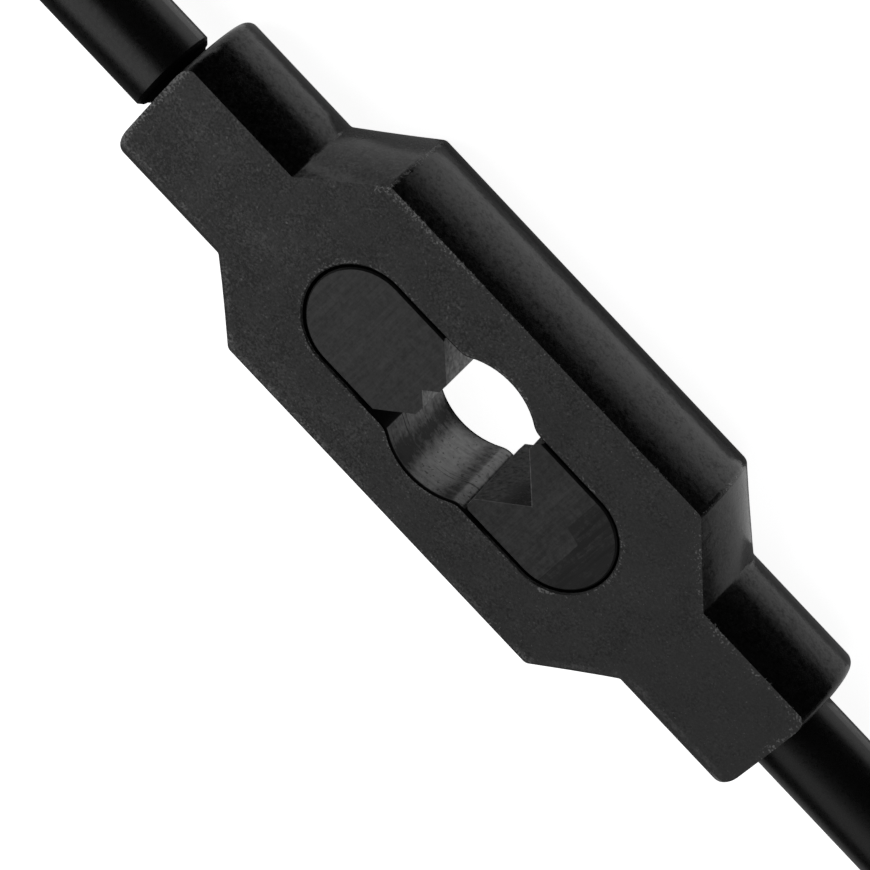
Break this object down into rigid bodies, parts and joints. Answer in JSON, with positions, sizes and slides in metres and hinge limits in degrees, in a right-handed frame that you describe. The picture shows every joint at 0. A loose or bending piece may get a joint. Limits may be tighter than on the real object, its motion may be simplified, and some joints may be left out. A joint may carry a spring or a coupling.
{
  "type": "adjustable bar tap holder",
  "caption": "Two-handled holder that grips a tap's square shank between a fixed vee jaw and a sliding jaw moved by turning one handle.",
  "frame": {"origin": "centre of the round opening in the body, half way through its thickness", "axes": "+X along the handles from the adjusting handle to the fixed handle, +Z square to the broad flats, along the tap, +Y across the body"},
  "size_m": [0.2097, 0.0256, 0.0114],
  "materials": {
    "body_finish": "matte",
    "jaw_finish": "satin",
    "handle_finish": "satin",
    "pin_finish": "satin"
  },
  "bodies": {
    "holder": {"body": "body_finish", "fixed_jaw": "jaw_finish", "fixed_handle": "handle_finish", "fixed_jaw_pin": "pin_finish"},
    "sliding_jaw": {"moving_jaw": "jaw_finish", "moving_jaw_pin": "pin_finish"},
    "adjuster": {"adjusting_handle": "handle_finish"}
  },
  "joints": [
    {"name": "jaw_slide", "type": "slide", "parent": "holder", "child": "sliding_jaw", "axis": [1, 0, 0], "range_m": [0, 0.0097]},
    {"name": "handle_turn", "type": "hinge", "parent": "sliding_jaw", "child": "adjuster", "pos_m": [-0.06, 0, 0], "axis": [1, 0, 0], "range_deg": [0, 3492]}
  ],
  "couplings": [
    {"joint": "handle_turn", "follows": "jaw_slide", "rad_per_m": 6283.2}
  ]
}
